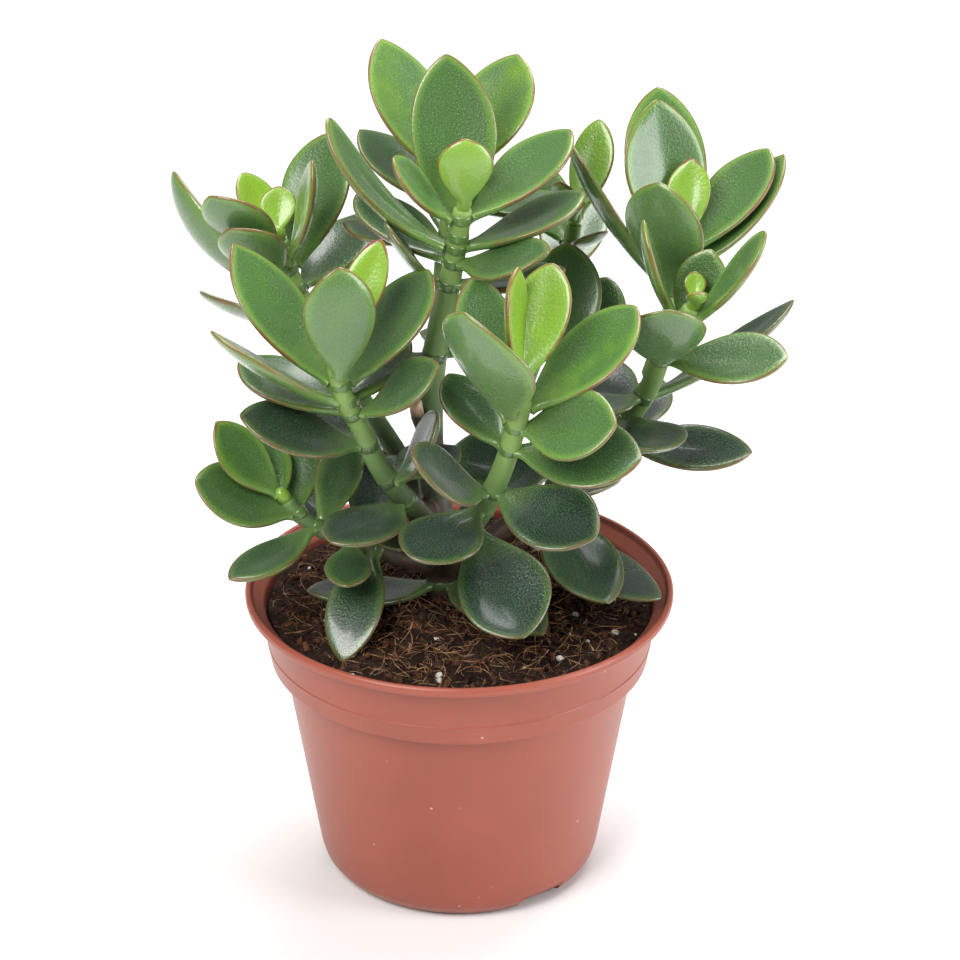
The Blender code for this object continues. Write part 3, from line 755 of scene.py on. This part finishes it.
def strand_tree():
    """Bent strands scattered on a surface, most of them lying almost flat."""
    tree, given = scattering_tree("coir_strands", {"Length": 0.01, "Thickness": 0.0001})
    ring = add_node(tree, "GeometryNodeCurvePrimitiveCircle", values={"Resolution": 4},
                    links={"Radius": given["Thickness"]})
    bundle = add_node(tree, "GeometryNodeJoinGeometry")
    # Four strands of unlike bends, drawn one unit long
    bends = (((0.0, 0.0, -0.02), (0.45, 0.42, 0.16), (1.0, 0.0, 0.03)),
             ((0.0, 0.0, -0.03), (0.7, -0.25, 0.30), (0.9, 0.45, 0.10)),
             ((0.0, 0.0, -0.02), (0.5, 0.10, 0.08), (1.0, 0.15, 0.02)),
             ((0.0, 0.0, -0.05), (0.1, 0.55, 0.35), (0.75, 0.6, 0.04)))
    for start, middle, end in bends:
        bow = add_node(tree, "GeometryNodeCurveQuadraticBezier",
                       values={"Resolution": 6, "Start": start, "Middle": middle, "End": end})
        long = add_node(tree, "GeometryNodeTransform", links={
            "Geometry": bow.outputs["Curve"], "Scale": given["Length"]})
        tube = add_node(tree, "GeometryNodeCurveToMesh", values={"Fill Caps": True}, links={
            "Curve": long.outputs["Geometry"], "Profile Curve": ring.outputs["Curve"]})
        single = add_node(tree, "GeometryNodeGeometryToInstance",
                          links={"Geometry": tube.outputs["Mesh"]})
        tree.links.new(single.outputs["Instances"], bundle.inputs["Geometry"])
    turn = random_value(tree, given["Seed"], (-0.25, -0.30, -math.pi), (0.25, 0.12, math.pi))
    size = random_value(tree, given["Seed"], 0.35, 1.25)
    return hand_out(tree, given, set_down(tree, given, bundle.outputs["Geometry"], turn, size, True))


def crumb_tree():
    """Rough crumbs scattered on a surface, each squashed and turned in its own way."""
    tree, given = scattering_tree("soil_crumbs", {"Radius": 0.001, "Slimness": 0.6})
    ball = add_node(tree, "GeometryNodeMeshIcoSphere", values={"Subdivisions": 2},
                    links={"Radius": given["Radius"]})
    turn = random_value(tree, given["Seed"], (-math.pi,) * 3, (math.pi,) * 3)
    size = random_value(tree, given["Seed"], 0.35, 1.2)
    slim = add_node(tree, "ShaderNodeMath", {"operation": "MULTIPLY"},
                    links={0: size, 1: given["Slimness"]}).outputs[0]
    scale = add_node(tree, "ShaderNodeCombineXYZ", links={0: size, 1: slim, 2: slim}).outputs[0]
    real = set_down(tree, given, ball.outputs["Mesh"], turn, scale)
    # Each corner of a crumb is pushed about, so that no two look alike.
    place = add_node(tree, "GeometryNodeInputPosition")
    rough = add_node(tree, "ShaderNodeTexNoise", values={"Scale": 900.0, "Detail": 2.0},
                     links={"Vector": place.outputs[0]})
    centred = add_node(tree, "ShaderNodeVectorMath", {"operation": "SUBTRACT"},
                       {1: (0.5, 0.5, 0.5)}, {0: rough.outputs["Color"]})
    push = add_node(tree, "ShaderNodeVectorMath", {"operation": "SCALE"},
                    links={0: centred.outputs[0], "Scale": given["Radius"]})
    lumpy = add_node(tree, "GeometryNodeSetPosition", links={
        "Geometry": real, "Offset": push.outputs[0]})
    return hand_out(tree, given, lumpy.outputs["Geometry"])


def scatter(name, tree, ground, inputs):
    """Runs a scattering tree on a copy of the ground and keeps what it gives as one mesh."""
    carrier = new_piece(name, ground.copy())
    modifier = carrier.modifiers.new(name, "NODES")
    modifier.node_group = tree
    sockets = {item.name: item.identifier for item in tree.interface.items_tree
               if item.item_type == "SOCKET" and item.in_out == "INPUT"}
    for label, value in inputs.items():
        modifier[sockets[label]] = value
    bake_modifiers(carrier)
    settle(carrier, "soil")


def build_soil(settings):
    """The root ball and its loose surface: strands of coir, crumbs, bark and perlite."""
    mesh = soil_disc("potting_mix", SOIL_RADIUS, settings.rings, settings.sides, deep=True)
    plug = new_piece("potting_mix", mesh, peat(settings.colour))
    settle(plug, "soil", "soil")
    # Long bits keep farther from the wall than short ones.
    ground = soil_disc("soil_ground", SOIL_RADIUS - CRUMB_ROOM, 24, 60)
    hair_ground = soil_disc("hair_ground", SOIL_RADIUS - HAIR_ROOM, 22, 60)
    inner_ground = soil_disc("inner_ground", SOIL_RADIUS - STRAND_ROOM, 20, 60)
    strands = strand_tree()
    crumbs = crumb_tree()
    coir = litter_material("coir_fibre", ((0.3, "#3A2318"), (0.5, "#7C5637"), (0.7, "#C49A68")),
                           0.8, 260.0)
    root = litter_material("fine_root", ((0.35, "#5B4030"), (0.65, "#A98A66")), 0.8, 260.0)
    lump = litter_material("peat_crumb", ((0.3, "#150C09"), (0.5, "#2E1B14"), (0.75, "#5E3E2C")),
                           0.95, 420.0)
    bark = litter_material("bark_chip", ((0.3, "#2A1810"), (0.7, "#6B4228")), 0.85, 420.0)
    perlite = litter_material("perlite", ((0.3, "#8F8A83"), (0.6, "#D8D4CC")), 0.9, 700.0)
    thready, crumbly = settings.strand_density, settings.crumb_density
    for name, surface, density, length, thickness, seed, material in (
            ("coir_strands", inner_ground, thready, 0.011, 0.00011, 7, coir),
            ("coir_hairs", hair_ground, thready * 1.5, 0.005, 0.00008, 19, root)):
        scatter(name, strands, surface, {"Density": density, "Length": length,
                                         "Thickness": thickness, "Seed": seed, "Material": material})
    for name, density, radius, slimness, seed, material in (
            ("peat_crumbs", crumbly, 0.0010, 0.75, 3, lump),
            ("bark_chips", crumbly * 0.12, 0.0021, 0.35, 11, bark),
            ("perlite_grains", crumbly * 0.016, 0.0011, 0.8, 5, perlite)):
        scatter(name, crumbs, ground, {"Density": density, "Radius": radius,
                                       "Slimness": slimness, "Seed": seed, "Material": material})
    for mesh in (ground, hair_ground, inner_ground):
        bpy.data.meshes.remove(mesh)


# ---------------------------------------------------------------- stems

def swept_tube(work, line, radii, sides):
    """A round tube along a line of points, with a radius at each, closed at both ends."""
    rings = []
    side = Vector((1, 0, 0)) if abs((line[1] - line[0]).normalized().x) < 0.9 else Vector((0, 1, 0))
    for index, (spot, radius) in enumerate(zip(line, radii)):
        before = line[max(0, index - 1)]
        after = line[min(len(line) - 1, index + 1)]
        along = (after - before).normalized()
        side = (side - along * side.dot(along)).normalized()
        other = along.cross(side)
        rings.append([work.verts.new((spot + side * radius * math.cos(math.tau * step / sides)
                                      + other * radius * math.sin(math.tau * step / sides)) * MM)
                      for step in range(sides)])
    bridge_rings(work, rings)


def node_swelling(shoot, back):
    """How far the stem swells beside its leaf nodes, mm."""
    swell = 0.0
    for node in shoot.pairs:
        if node.back > 0:
            swell = max(swell, math.exp(-((back - node.back) / SWELLING_REACH) ** 2))
    return swell * SWELLING


def build_stems(settings):
    """Trunk, branches and stubs, blended into one skin with a ring at each leaf node."""
    work = bmesh.new()
    samples = []
    pitch = settings.pitch / MM
    for shoot in SHOOTS:
        line = smooth_route(shoot.route, pitch)
        length = route_length(line)
        radii = []
        for index, spot in enumerate(line):
            back = length * (1 - index / (len(line) - 1))
            radii.append(stem_radius(shoot, back, length) + node_swelling(shoot, back))
            nearest = min(abs(back - node.back) for node in shoot.pairs if node.back > 0)
            # Old where it is thick and low, young at the tips
            lowness = max(0.0, 1 - (spot.z - POT_TOP) / YOUNG_HEIGHT)
            age = min(1.0, 0.30 * min(1.0, back / OLD_BACK) + 0.85 * lowness ** 1.5)
            scar = math.exp(-(nearest / SCAR_REACH) ** 2) * SCAR_STRENGTH
            samples.append((spot, age, scar, 0.0))
        swept_tube(work, line, radii, STEM_SIDES)
    for route, radius in STUBS:
        line = smooth_route(route, pitch)
        shares = [index / (len(line) - 1) for index in range(len(line))]
        swept_tube(work, line, [radius * (1.0 - 0.15 * share) for share in shares], STEM_SIDES)
        for spot, share in zip(line, shares):
            samples.append((spot, 0.9, 0.0, 1.0 if share > 0.85 else 0.0))
    stems = new_piece("jade_stems", finished_mesh(work, "jade_stems"))
    blend = stems.modifiers.new("blend", "REMESH")
    blend.mode = "VOXEL"
    blend.voxel_size = settings.voxel
    blend.use_smooth_shade = True
    ease = stems.modifiers.new("ease", "SMOOTH")
    ease.factor = 0.5
    ease.iterations = 5
    bake_modifiers(stems)
    mesh = stems.data
    tree = KDTree(len(samples))
    for index, (spot, *_) in enumerate(samples):
        tree.insert(spot * MM, index)
    tree.balance()
    places = [vert.co.copy() for vert in mesh.vertices]
    normals = [vert.normal.copy() for vert in mesh.vertices]
    values = {"age": [], "scar": [], "cut": []}
    for place in places:
        near = tree.find_n(place, 3)
        weights = [1 / (distance + 0.0002) for _, _, distance in near]
        for layer, part in zip(values.values(), (1, 2, 3)):
            total = sum(weight * samples[index][part]
                        for weight, (_, index, _) in zip(weights, near))
            layer.append(total / sum(weights))
    for name, layer in values.items():
        mesh.attributes.new(name, "FLOAT", "POINT").data.foreach_set("value", layer)
    # Fine creases round the older wood
    moved = []
    for place, normal, age in zip(places, normals, values["age"]):
        wrinkle = noise.noise(Vector((place.x * 500, place.y * 500, place.z * 1400)))
        moved.extend(place + normal * wrinkle * 0.00016 * age)
    mesh.vertices.foreach_set("co", moved)
    mesh.update()
    mesh.materials.append(stem_skin())
    mesh.shade_smooth()
    settle(stems, "stem", "stems")


# ---------------------------------------------------------------- leaves

def leaf_width_share(share, rise, fall):
    """Half-width of a leaf, against its widest, at a share of its length."""
    widest = rise / (rise + fall)
    return (share / widest) ** rise * ((1 - share) / (1 - widest)) ** fall


def leaf_thickness(share, length):
    """Full thickness of a leaf at a share of its length, mm."""
    size = min(1.0, 0.45 + length / 60)
    return LEAF_THICKNESS * size * math.sqrt(max(0.0, 1 - share ** 4)) * (0.85 + 0.3 * share)


def leaf_frame(leaf, base):
    """Places a leaf: X along its chord, Y across it, Z out of its upper face."""
    along = heading(leaf.azimuth, leaf.rise)
    across = heading(leaf.azimuth + 90)
    upper = along.cross(across)
    turn = Matrix((along, across, upper)).transposed()
    roll = Matrix.Rotation(math.radians(leaf.roll), 3, "X")
    return Matrix.Translation(base) @ (turn @ roll).to_4x4()


class LeafForm:
    """The small ways in which one leaf differs from the next."""

    def __init__(self, draw, leaf):
        self.rise = draw.uniform(0.92, 1.05)
        self.fall = draw.uniform(0.66, 0.8)
        self.wave = draw.uniform(-0.55, 0.55)
        self.phase = draw.uniform(0, math.tau)
        self.lean = draw.uniform(-0.08, 0.08)
        self.neck = 2.8 * min(1.0, 0.4 + leaf.length / 70)
        self.groove = draw.uniform(0.15, 0.4)


def leaf_vertex(leaf, form, share, side, lift):
    """A point of a leaf in its own frame, mm, and its distance from the leaf's edge, mm."""
    bend = math.radians(leaf.curl)
    half = bend / 2
    scale = leaf.length / (2 * math.sin(half))
    angle = bend * (share - 0.5)
    outline = leaf_width_share(share, form.rise, form.fall) * leaf.width / 2
    reach = math.hypot(outline, form.neck * (1 - share) ** 6)
    across = side * reach * (1 + form.lean * side * math.sin(math.pi * share))
    cup = leaf.cup * (1 - 0.5 * share) * across * across / (leaf.width / 2)
    ripple = form.wave * side * abs(side) * math.sin(share * 5 + form.phase)
    thick = leaf_thickness(share, leaf.length) / 2
    # The upper face is flatter than the lower and has a shallow groove down its middle.
    height = lift * thick * (0.85 if lift > 0 else 1.1) + cup + ripple
    if lift > 0:
        height -= form.groove * lift * math.exp(-(side / 0.3) ** 2) * math.sin(math.pi * share)
    spot = Vector((
        scale * (math.sin(angle) + math.sin(half)) - height * math.sin(angle),
        across,
        scale * (math.cos(half) - math.cos(angle)) + height * math.cos(angle),
    ))
    return spot, (1 - abs(side)) * reach


def add_leaf(work, layers, leaf, form, base, fineness, tone):
    """Adds one leaf to a mesh: rings from its root to its tip, with its map and attributes."""
    rings, sides = fineness
    frame_of = leaf_frame(leaf, base)
    age, blush = tone
    rows = []
    ends = []
    chart = {}
    for index in range(rings + 1):
        share = (1 - math.cos(math.pi * index / rings)) / 2
        if index in (0, rings):
            spot, _ = leaf_vertex(leaf, form, share, 0.0, 0.0)
            vert = work.verts.new(frame_of @ spot * MM)
            vert[layers["margin"]] = 0.0 if index else NO_EDGE
            vert[layers["share"]] = share
            vert[layers["under"]] = 0.5
            chart[vert] = (0.0, share * leaf.length)
            ends.append(vert)
            continue
        row = []
        for step in range(sides):
            turn = math.tau * step / sides
            side = math.cos(turn)
            lift = math.copysign(abs(math.sin(turn)) ** 0.8, math.sin(turn))
            spot, margin = leaf_vertex(leaf, form, share, side, lift)
            vert = work.verts.new(frame_of @ spot * MM)
            vert[layers["margin"]] = (margin + max(0.0, 0.25 - share) * 8
                                      - max(0.0, share - 0.86) * 6)
            vert[layers["share"]] = share
            vert[layers["under"]] = 1.0 if lift < -0.2 else 0.0
            chart[vert] = (spot.y + (UNDER_SHIFT if lift < 0 else 0.0), spot.x)
            row.append(vert)
        rows.append(row)
    faces = []
    for row, after in zip(rows, rows[1:]):
        for step in range(sides):
            follow = (step + 1) % sides
            faces.append(work.faces.new((row[step], after[step], after[follow], row[follow])))
    for step in range(sides):
        follow = (step + 1) % sides
        faces.append(work.faces.new((ends[0], rows[0][step], rows[0][follow])))
        faces.append(work.faces.new((ends[1], rows[-1][follow], rows[-1][step])))
    for face in faces:
        lower = sum(vert[layers["under"]] > 0.5 for vert in face.verts) > 1
        for loop in face.loops:
            across, along = chart[loop.vert]
            own = across - UNDER_SHIFT if across > UNDER_LIMIT else across
            loop[layers["uv"]].uv = (own + (UNDER_SHIFT if lower else 0.0), along)
            loop.vert[layers["age"]] = age
            loop.vert[layers["blush"]] = blush


def add_collar(work, layers, spot, direction, radius, age):
    """Adds the raised ring where two leaves clasp the stem."""
    side = direction.orthogonal().normalized()
    other = direction.cross(side)
    grid = []
    for step in range(COLLAR_AROUND):
        turn = math.tau * step / COLLAR_AROUND
        out = side * math.cos(turn) + other * math.sin(turn)
        row = []
        for part in range(COLLAR_ABOUT):
            tilt = math.tau * part / COLLAR_ABOUT
            place = (spot + out * (radius - COLLAR_SINK + COLLAR_RISE * math.cos(tilt))
                     + direction * COLLAR_HALF * math.sin(tilt))
            vert = work.verts.new(place * MM)
            vert[layers["age"]] = age
            vert[layers["margin"]] = NO_EDGE
            vert[layers["share"]] = 0.1
            row.append(vert)
        grid.append(row)
    for row, after in zip(grid, grid[1:] + grid[:1]):
        for part in range(COLLAR_ABOUT):
            follow = (part + 1) % COLLAR_ABOUT
            work.faces.new((row[part], after[part], after[follow], row[follow]))


def add_bud(work, layers, spot, direction):
    """Adds the blunt growing tip between the youngest leaves."""
    turn = direction.to_track_quat("Z", "Y").to_matrix().to_4x4()
    stretch = Matrix.Diagonal((0.88, 0.88, 1.15, 1.0))
    place = Matrix.Translation(spot * MM) @ turn @ stretch
    made = bmesh.ops.create_uvsphere(work, u_segments=20, v_segments=14, radius=BUD_RADIUS * MM,
                                     matrix=place)
    for vert in made["verts"]:
        vert[layers["margin"]] = NO_EDGE
        vert[layers["share"]] = 0.1


def build_leaf_pair(shoot, number, node, line, material, settings, draw):
    """One pair of leaves and the collar or bud that carries them, as one piece."""
    name = f"{shoot.name}_leaves_{number}"
    at_tip = node.back < 0
    shoot_age = RESTING_SHOOTS.get(shoot.name, 0.0)
    spot, direction = point_back(line, max(0.0, node.back))
    if at_tip:
        spot = spot + direction * (BUD_RADIUS * BUD_SEAT + GAP)
    radius = stem_radius(shoot, node.back, route_length(line))
    age = shoot_age if at_tip else min(1.0, max(shoot_age, 0.30) + node.back / 48)
    work = bmesh.new()
    layers = {key: work.verts.layers.float.new(key)
              for key in ("age", "under", "margin", "blush", "share")}
    layers["uv"] = work.loops.layers.uv.new("leaf_mm")
    for leaf in node.leaves:
        reach = BUD_RADIUS * BUD_ROOT if at_tip else radius * (
            LEAF_ROOT + ERECT_ROOT * abs(math.sin(math.radians(leaf.rise))))
        root = spot + heading(leaf.azimuth) * reach
        own_age = min(1.0, max(0.0, age + draw.uniform(-0.1, 0.1)))
        blush = settings.blush * (1.0 - 0.55 * own_age) * draw.uniform(0.7, 1.0)
        add_leaf(work, layers, leaf, LeafForm(draw, leaf), root,
                 (settings.rings, settings.sides), (own_age, blush))
    if at_tip:
        add_bud(work, layers, spot, direction)
    else:
        add_collar(work, layers, spot, direction, radius, age)
    mesh = finished_mesh(work, "jade_" + name)
    mesh.shade_smooth()
    piece = new_piece("jade_" + name, mesh, material)
    settle(piece, "young_leaf" if number <= 2 else "leaf", name)


def build_leaves(settings):
    """Every pair of leaves, from each shoot's tip down."""
    material = leaf_skin(settings.young, settings.ripe, settings.old, settings.edge)
    for order, shoot in enumerate(SHOOTS):
        line = smooth_route(shoot.route, LEAF_ROUTE_PITCH)
        for number, node in enumerate(shoot.pairs, start=1):
            draw = random.Random(100 * order + number)
            build_leaf_pair(shoot, number, node, line, material, settings, draw)


# ---------------------------------------------------------------- stage

def add_area_light(name, place, size, power, colour):
    """A soft oblong light that faces the middle of the plant."""
    light = bpy.data.lights.new(name, "AREA")
    light.shape = "RECTANGLE"
    light.size, light.size_y = size
    light.energy = power
    light.color = colour
    holder = bpy.data.objects.new(name, light)
    holder.location = place
    aim = Vector(LIT_POINT) - Vector(place)
    holder.rotation_euler = aim.to_track_quat("-Z", "Y").to_euler()
    bpy.context.scene.collection.objects.link(holder)


def build_stage(settings):
    """Camera, pale floor, white surroundings and soft studio lights."""
    scene = bpy.context.scene
    tilt = math.radians(settings.elevation)
    aim = Vector((0.0, 0.0, POT_TOP * MM))
    camera = bpy.data.cameras.new("camera")
    camera.lens = settings.lens
    camera.sensor_width = SENSOR
    camera.clip_start, camera.clip_end = CAMERA_CLIP
    camera.shift_x, camera.shift_y = CAMERA_SHIFT
    holder = bpy.data.objects.new("camera", camera)
    holder.location = aim + Vector((0.0, -math.cos(tilt), math.sin(tilt))) * settings.distance
    holder.rotation_euler = (math.pi / 2 - tilt, 0.0, 0.0)
    scene.collection.objects.link(holder)
    scene.camera = holder

    work = bmesh.new()
    bmesh.ops.create_grid(work, x_segments=1, y_segments=1, size=FLOOR_HALF)
    paper = Skin("studio_paper", {"Base Color": linear("#E2E2E2"), "Roughness": 0.9,
                                  "Specular IOR Level": 0.1})
    floor = new_piece("floor", finished_mesh(work, "floor"), paper.material)
    floor.location.z = -FLOOR_DROP

    world = bpy.data.worlds.new("studio")
    world.use_nodes = True
    surround = world.node_tree.nodes["Background"]
    surround.inputs["Color"].default_value = linear("#FFFFFF")
    surround.inputs["Strength"].default_value = settings.surround
    scene.world = world
    scene.view_settings.view_transform = "Standard"

    add_area_light("key", (-0.55, -0.75, 1.05), (0.7, 0.7), settings.key, (1.0, 0.98, 0.95))
    add_area_light("top", (0.15, 0.35, 1.15), (0.9, 0.6), settings.top, (1.0, 1.0, 1.0))
    add_area_light("side", (1.0, -0.35, 0.45), (0.5, 0.8), settings.side, (0.97, 0.98, 1.0))


# ---------------------------------------------------------------- add-on

def colour_setting(label, hint, code):
    """A colour that can be picked, from its hex code."""
    return FloatVectorProperty(name=label, description=hint, size=4, subtype="COLOR",
                               default=linear(code))


def number_setting(label, hint, default, unit="NONE"):
    """A number that can be set, whole if its default is."""
    if isinstance(default, int):
        return IntProperty(name=label, description=hint, default=default)
    return FloatProperty(name=label, description=hint, default=default, unit=unit)


class JadePotSettings(bpy.types.PropertyGroup):
    """Sizes and colour of the pot."""
    corner: number_setting("Corner radius", "Rounding of the moulded corners", 0.0005, "LENGTH")
    steps: number_setting("Steps", "Facets round the pot", 168)
    colour: colour_setting("Plastic", "Colour of the plastic", "#964C3A")


class JadeSoilSettings(bpy.types.PropertyGroup):
    """Fineness, colour and loose bits of the soil."""
    rings: number_setting("Rings", "Rings of the soil surface", 80)
    sides: number_setting("Sides", "Facets round the soil", 200)
    colour: colour_setting("Peat", "Colour of the damp peat", "#2C1D17")
    strand_density: number_setting("Strands", "Coir strands for each square metre", 90000.0)
    crumb_density: number_setting("Crumbs", "Peat crumbs for each square metre", 230000.0)


class JadeStemSettings(bpy.types.PropertyGroup):
    """Fineness of the stems."""
    pitch: number_setting("Pitch", "Distance between the rings of a stem", 0.0012, "LENGTH")
    voxel: number_setting("Blend", "Voxel size that blends the forks", 0.0006, "LENGTH")


class JadeLeafSettings(bpy.types.PropertyGroup):
    """Fineness and colours of the leaves."""
    rings: number_setting("Rings", "Rings along a leaf", 44)
    sides: number_setting("Sides", "Facets round a leaf", 32)
    blush: number_setting("Blush", "Strength of the red edge", 1.0)
    young: colour_setting("Young", "Colour of the youngest leaves", "#7BA223")
    ripe: colour_setting("Ripe", "Colour of full-grown leaves", "#40652B")
    old: colour_setting("Old", "Colour of the oldest leaves", "#1E3228")
    edge: colour_setting("Edge", "Colour of a leaf's edge", "#74201A")


class JadeStageSettings(bpy.types.PropertyGroup):
    """Camera and lights."""
    elevation: number_setting("Elevation", "Camera angle above the horizon, degrees", 28.1)
    distance: number_setting("Distance", "Camera to the pot's rim", 0.9, "LENGTH")
    lens: number_setting("Lens", "Focal length, mm", 120.4)
    surround: number_setting("Surround", "Strength of the white surroundings", 0.32)
    key: number_setting("Key", "Power of the main light", 19.0, "POWER")
    top: number_setting("Top", "Power of the light overhead", 17.0, "POWER")
    side: number_setting("Side", "Power of the light at the right", 10.0, "POWER")


class JADE_OT_pot(bpy.types.Operator):
    """Build the nursery pot"""
    bl_idname = "jade.pot"
    bl_label = "Pot"

    def execute(self, context):
        build_pot(context.scene.jade_pot)
        return {"FINISHED"}


class JADE_OT_soil(bpy.types.Operator):
    """Build the soil with its strands and crumbs"""
    bl_idname = "jade.soil"
    bl_label = "Soil"

    def execute(self, context):
        build_soil(context.scene.jade_soil)
        return {"FINISHED"}


class JADE_OT_stems(bpy.types.Operator):
    """Build the trunk, branches and stubs"""
    bl_idname = "jade.stems"
    bl_label = "Stems"

    def execute(self, context):
        build_stems(context.scene.jade_stems)
        return {"FINISHED"}


class JADE_OT_leaves(bpy.types.Operator):
    """Build every pair of leaves"""
    bl_idname = "jade.leaves"
    bl_label = "Leaves"

    def execute(self, context):
        build_leaves(context.scene.jade_leaves)
        return {"FINISHED"}


class JADE_OT_stage(bpy.types.Operator):
    """Set up the camera, floor and lights"""
    bl_idname = "jade.stage"
    bl_label = "Stage"

    def execute(self, context):
        build_stage(context.scene.jade_stage)
        return {"FINISHED"}


class JADE_PT_panel(bpy.types.Panel):
    """Lists the plant's pieces and their settings"""
    bl_label = "Jade plant"
    bl_idname = "JADE_PT_panel"
    bl_space_type = "VIEW_3D"
    bl_region_type = "UI"
    bl_category = "Jade plant"

    def draw(self, context):
        for operator, name, _ in STEPS:
            box = self.layout.box()
            box.operator(operator.bl_idname)
            group = getattr(context.scene, name)
            for key in group.bl_rna.properties.keys():
                if key not in ("rna_type", "name"):
                    box.prop(group, key)


# The operator of each step, the name of its settings on the scene, and their class
STEPS = (
    (JADE_OT_stage, "jade_stage", JadeStageSettings),
    (JADE_OT_pot, "jade_pot", JadePotSettings),
    (JADE_OT_soil, "jade_soil", JadeSoilSettings),
    (JADE_OT_stems, "jade_stems", JadeStemSettings),
    (JADE_OT_leaves, "jade_leaves", JadeLeafSettings),
)
CLASSES = (*(group for _, _, group in STEPS), *(operator for operator, _, _ in STEPS),
           JADE_PT_panel)


def register():
    """Registers the classes and adds the settings to the scene."""
    for item in CLASSES:
        bpy.utils.register_class(item)
    for _, name, group in STEPS:
        setattr(bpy.types.Scene, name, PointerProperty(type=group))


def unregister():
    """Removes what register added."""
    for _, name, _ in STEPS:
        delattr(bpy.types.Scene, name)
    for item in reversed(CLASSES):
        bpy.utils.unregister_class(item)


def main():
    """Builds every piece in order."""
    register()
    bpy.ops.jade.stage()
    bpy.ops.jade.pot()
    bpy.ops.jade.soil()
    bpy.ops.jade.stems()
    bpy.ops.jade.leaves()


if __name__ == "__main__":
    main()
